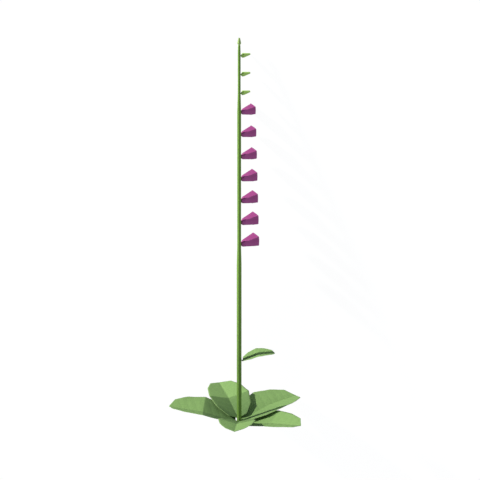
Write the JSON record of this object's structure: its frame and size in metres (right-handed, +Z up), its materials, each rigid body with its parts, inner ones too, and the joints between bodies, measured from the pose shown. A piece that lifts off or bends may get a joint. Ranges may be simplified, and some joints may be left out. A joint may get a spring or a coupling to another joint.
{
  "type": "foxglove flower spike",
  "caption": "Cut foxglove flower spike lying down: five-sided green stem with nodding pink-purple bells, closed buds towards the tip, a small stem leaf and a rosette of broad basal leaves.",
  "frame": {"origin": "middle of the plant's bounding box on the surface it lies on", "axes": "+Z up, +Y along the laid spike from its cut foot towards its tip, +X to the side the bells' mouths point to"},
  "size_m": [0.3748, 1.0902, 0.3287],
  "materials": {
    "stem_green": "satin",
    "leaf_green": "matte",
    "bud_green": "satin",
    "bell_pink": "satin",
    "stamen_cream": "matte"
  },
  "bodies": {
    "root": {"flower_stem": "stem_green", "tip_bud": "bud_green", "bud_1": "bud_green", "bud_2": "bud_green", "bud_3": "bud_green", "bell_1": "bell_pink", "stamens_1": "stamen_cream", "bell_2": "bell_pink", "stamens_2": "stamen_cream", "bell_3": "bell_pink", "stamens_3": "stamen_cream", "bell_4": "bell_pink", "stamens_4": "stamen_cream", "bell_5": "bell_pink", "stamens_5": "stamen_cream", "bell_6": "bell_pink", "stamens_6": "stamen_cream", "bell_7": "bell_pink", "stamens_7": "stamen_cream", "basal_leaf_1": "leaf_green", "basal_leaf_2": "leaf_green", "basal_leaf_3": "leaf_green", "basal_leaf_4": "leaf_green", "basal_leaf_5": "leaf_green", "stem_leaf": "leaf_green"}
  },
  "joints": []
}
